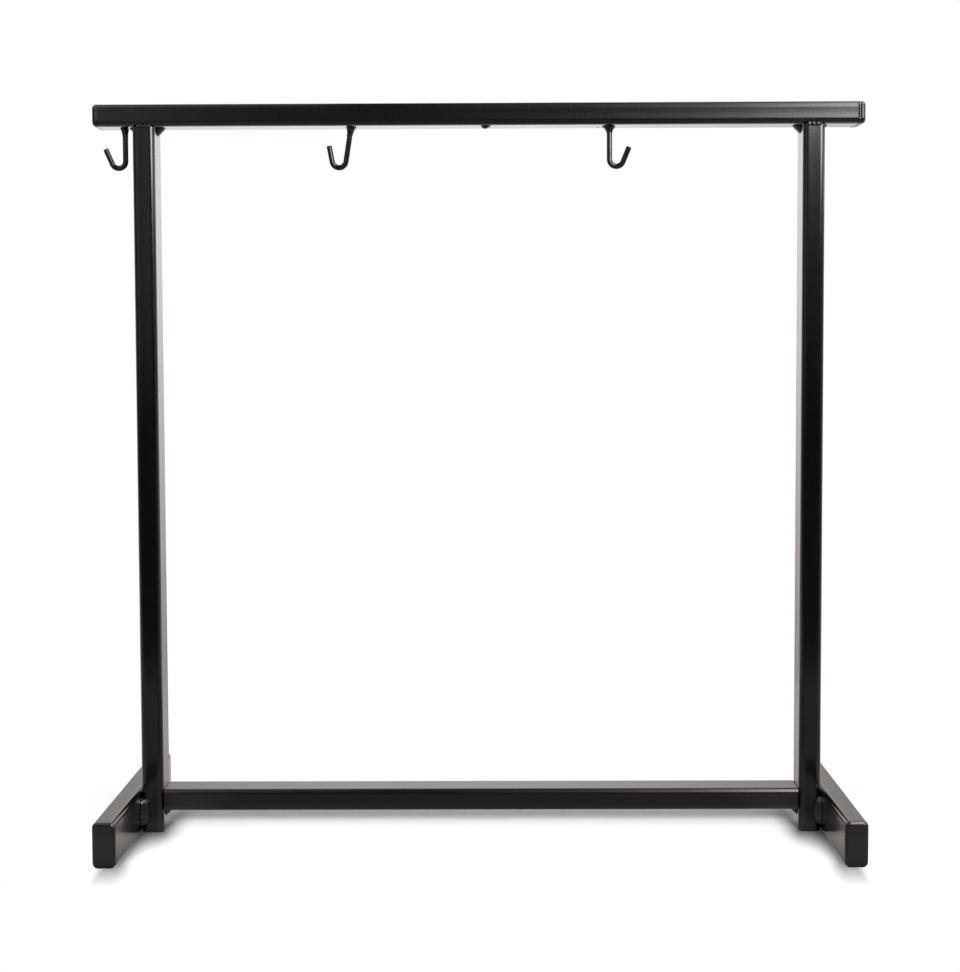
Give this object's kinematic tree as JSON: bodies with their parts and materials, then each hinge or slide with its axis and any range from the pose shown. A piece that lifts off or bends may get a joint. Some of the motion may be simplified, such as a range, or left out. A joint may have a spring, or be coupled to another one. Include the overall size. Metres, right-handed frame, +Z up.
{
  "type": "gong stand",
  "caption": "Welded rectangular steel tube floor stand with hooks under its top rail for hanging a gong and holding its mallet.",
  "frame": {"origin": "on the floor, midway between the uprights and midway along the feet", "axes": "+X to the right along the top rail, +Y from front to back along the feet, +Z up"},
  "size_m": [0.8784, 0.3938, 0.8382],
  "materials": {
    "frame_tube": "satin black powder coat over steel tube",
    "cap_plate": "satin black powder coat over ground steel plate",
    "hook_rod": "satin black powder coat over bent steel rod",
    "weld_bead": "satin black powder coat over rippled weld"
  },
  "bodies": {
    "root": {"left_foot": "frame_tube", "left_upright": "frame_tube", "lower_crossbar": "frame_tube", "right_foot": "frame_tube", "right_upright": "frame_tube", "top_rail": "frame_tube", "left_foot_cap_back": "cap_plate", "left_foot_cap_front": "cap_plate", "rail_cap_left": "cap_plate", "rail_cap_right": "cap_plate", "right_foot_cap_back": "cap_plate", "right_foot_cap_front": "cap_plate", "gong_hook_left": "hook_rod", "gong_hook_right": "hook_rod", "mallet_hook": "hook_rod", "crossbar_weld_left": "weld_bead", "crossbar_weld_right": "weld_bead", "gong_hook_left_weld": "weld_bead", "gong_hook_right_weld": "weld_bead", "left_foot_cap_back_seam": "weld_bead", "left_foot_cap_front_seam": "weld_bead", "left_foot_weld_back": "weld_bead", "left_foot_weld_front": "weld_bead", "left_upright_weld_back": "weld_bead", "left_upright_weld_front": "weld_bead", "left_upright_weld_inner": "weld_bead", "left_upright_weld_outer": "weld_bead", "mallet_hook_weld": "weld_bead", "rail_cap_left_seam": "weld_bead", "rail_cap_right_seam": "weld_bead", "rail_weld_nub": "weld_bead", "right_foot_cap_back_seam": "weld_bead", "right_foot_cap_front_seam": "weld_bead", "right_foot_weld_back": "weld_bead", "right_foot_weld_front": "weld_bead", "right_upright_weld_back": "weld_bead", "right_upright_weld_front": "weld_bead", "right_upright_weld_inner": "weld_bead", "right_upright_weld_outer": "weld_bead"}
  },
  "joints": []
}
